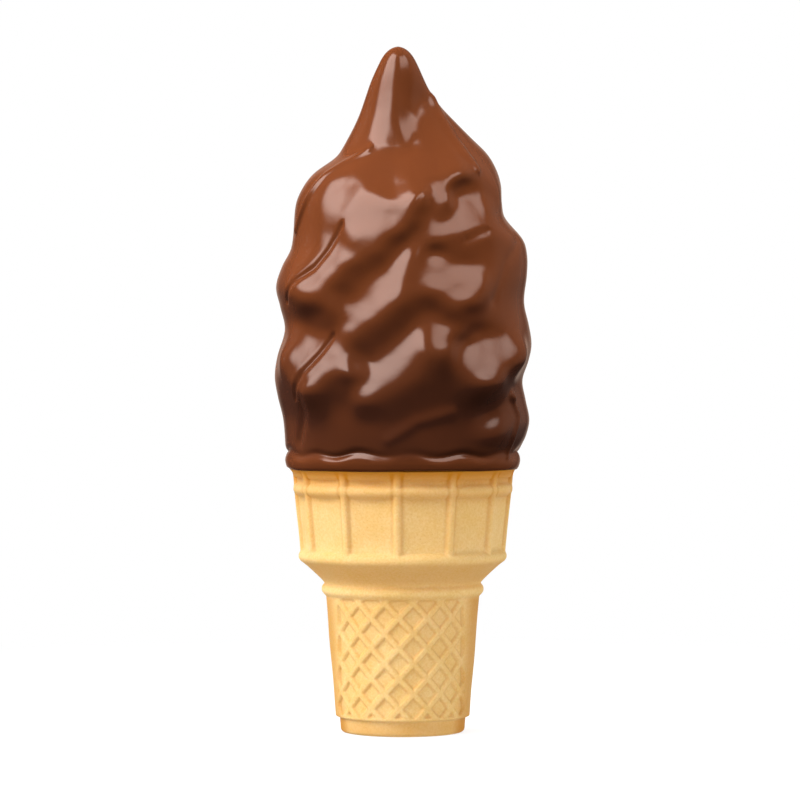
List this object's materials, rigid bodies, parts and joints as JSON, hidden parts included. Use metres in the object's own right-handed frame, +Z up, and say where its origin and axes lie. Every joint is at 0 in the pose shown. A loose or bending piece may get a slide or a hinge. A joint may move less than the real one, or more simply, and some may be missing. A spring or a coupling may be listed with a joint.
{
  "type": "ice cream cone",
  "caption": "Soft serve ice cream piped in a spiral and dipped in chocolate, in a moulded wafer cup with a collar of flat panels, a lattice barrel and a flat base that it stands on.",
  "frame": {"origin": "centre of the wafer cup's base, on the surface that it stands on", "axes": "+Z up along the cup's axis, -Y the front"},
  "size_m": [0.0657, 0.0669, 0.175],
  "materials": {
    "wafer": "dry baked wafer with fine pores",
    "chocolate": "smooth glossy set coating"
  },
  "bodies": {
    "root": {"wafer_cup": "wafer", "dipped_soft_serve": "chocolate"}
  },
  "joints": []
}
